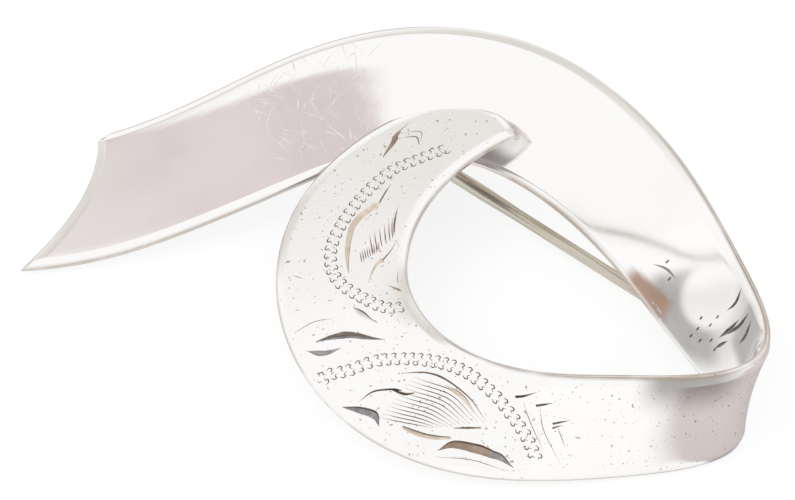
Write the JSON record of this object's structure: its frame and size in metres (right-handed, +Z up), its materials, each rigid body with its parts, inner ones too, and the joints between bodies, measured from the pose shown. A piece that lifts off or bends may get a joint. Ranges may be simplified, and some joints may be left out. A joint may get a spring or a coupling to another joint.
{
  "type": "ribbon brooch",
  "caption": "Silver ribbon-loop brooch: one strip sweeps from a slant-cut tail into an arch, twists on edge and curls back as an engraved crescent, with a hinged pin and revolving catch behind.",
  "frame": {"origin": "under the middle of the brooch's bounding box, on the surface it lies on", "axes": "+X along the brooch from the tail to the right-hand turn, +Y away from the viewer, +Z up, with the front facing up and the pin underneath"},
  "size_m": [0.0492, 0.0338, 0.0108],
  "materials": {
    "silver": "polished sterling silver",
    "pin_metal": "drawn wire, polished"
  },
  "bodies": {
    "brooch": {"ribbon": "silver", "hinge_disc": "silver", "hinge_ear_upper": "silver", "hinge_ear_lower": "silver", "hinge_rivet": "pin_metal", "catch_disc": "silver", "catch_barrel": "silver"},
    "pin": {"pin_knuckle": "pin_metal", "pin_wire": "pin_metal"},
    "rotor": {"catch_rotor": "pin_metal", "catch_tab": "pin_metal"}
  },
  "joints": [
    {"name": "pin_hinge", "type": "hinge", "parent": "brooch", "child": "pin", "pos_m": [0.00116, 0.01177, 0.00145], "axis": [0.5949, 0.6988, 0.3972], "range_deg": [0, 95]},
    {"name": "catch_roll", "type": "hinge", "parent": "brooch", "child": "rotor", "pos_m": [0.02164, -0.00566, 0.00145], "axis": [0.7615, -0.6482, 0], "range_deg": [0, 100]}
  ]
}
